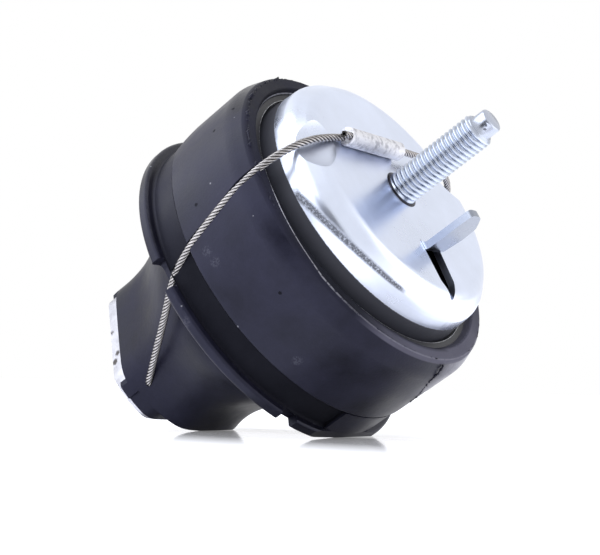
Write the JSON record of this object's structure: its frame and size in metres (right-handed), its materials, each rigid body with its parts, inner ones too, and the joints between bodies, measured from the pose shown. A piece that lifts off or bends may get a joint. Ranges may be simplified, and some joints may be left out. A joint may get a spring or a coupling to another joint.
{
  "type": "engine mount",
  "caption": "Hydraulic engine mount: pressed cap with stud and locating tab, rubber-jacketed can, rubber spring on an aluminium core, and a safety cable loop.",
  "frame": {"origin": "centre of the core's flat end face, on the mount's axis", "axes": "+Z along the axis towards the stud, +X towards the locating tab"},
  "size_m": [0.1205, 0.1222, 0.1545],
  "materials": {
    "zinc_cap": "bright zinc plated pressed steel",
    "zinc_stud": "zinc plated, rolled thread",
    "can_steel": "plain steel",
    "jacket_rubber": "satin moulded rubber with scuffs",
    "spring_rubber": "satin moulded rubber",
    "diaphragm_rubber": "smooth thin rubber",
    "cast_core": "as-cast aluminium, worn bare on one flank",
    "track_aluminium": "die-cast aluminium",
    "rope_steel": "stranded steel rope",
    "ferrule_aluminium": "crimped, dull and scratched"
  },
  "bodies": {
    "root": {"top_cap": "zinc_cap", "stud": "zinc_stud", "outer_can": "can_steel", "rubber_jacket": "jacket_rubber", "main_spring": "spring_rubber", "core": "cast_core", "safety_cable": "rope_steel", "cable_ferrule": "ferrule_aluminium", "spring_ring": "can_steel", "rebound_plate": "can_steel", "rebound_buffer": "spring_rubber", "rebound_rivet": "can_steel", "track_seal": "spring_rubber", "track_lower_plate": "track_aluminium", "track_upper_plate": "track_aluminium", "track_rivets": "can_steel", "decoupler_disc": "spring_rubber", "diaphragm": "diaphragm_rubber", "diaphragm_ring": "can_steel"}
  },
  "joints": []
}
